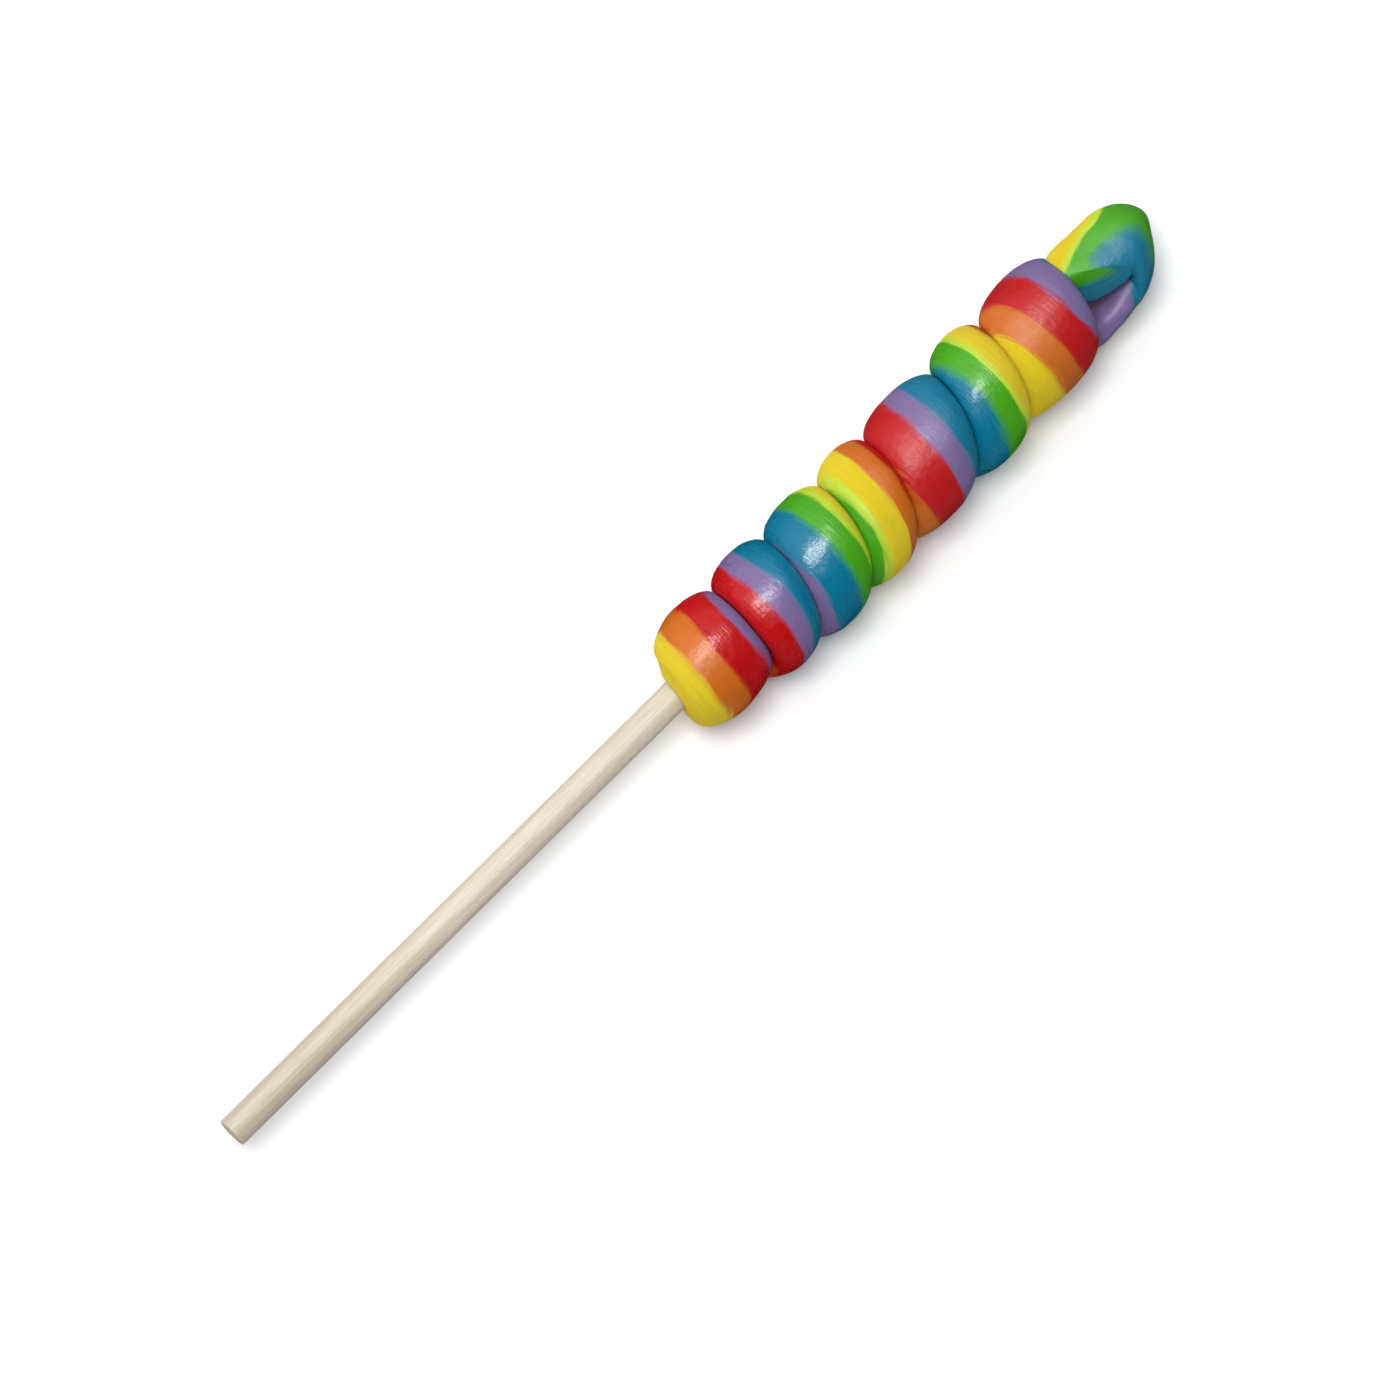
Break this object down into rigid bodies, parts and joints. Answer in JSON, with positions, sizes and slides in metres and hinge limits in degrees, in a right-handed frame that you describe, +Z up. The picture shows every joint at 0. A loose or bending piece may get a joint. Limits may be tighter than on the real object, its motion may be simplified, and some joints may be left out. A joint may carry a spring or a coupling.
{
  "type": "twist lollipop",
  "caption": "Hand-wound rainbow sugar rope on a round wooden stick, lying on its side; the stick is held while the candy is eaten",
  "frame": {"origin": "on the surface that the lollipop lies on, under the middle of its overall box", "axes": "+X along the stick towards the candy's tip, +Z up out of the side that is shown, +Y across"},
  "size_m": [0.2286, 0.0238, 0.0228],
  "materials": {
    "candy": "pulled sugar in soft-edged rainbow stripes, satin gloss",
    "stick": "pale bare dowel, matte"
  },
  "bodies": {
    "root": {"candy": "candy", "stick": "stick"}
  },
  "joints": []
}
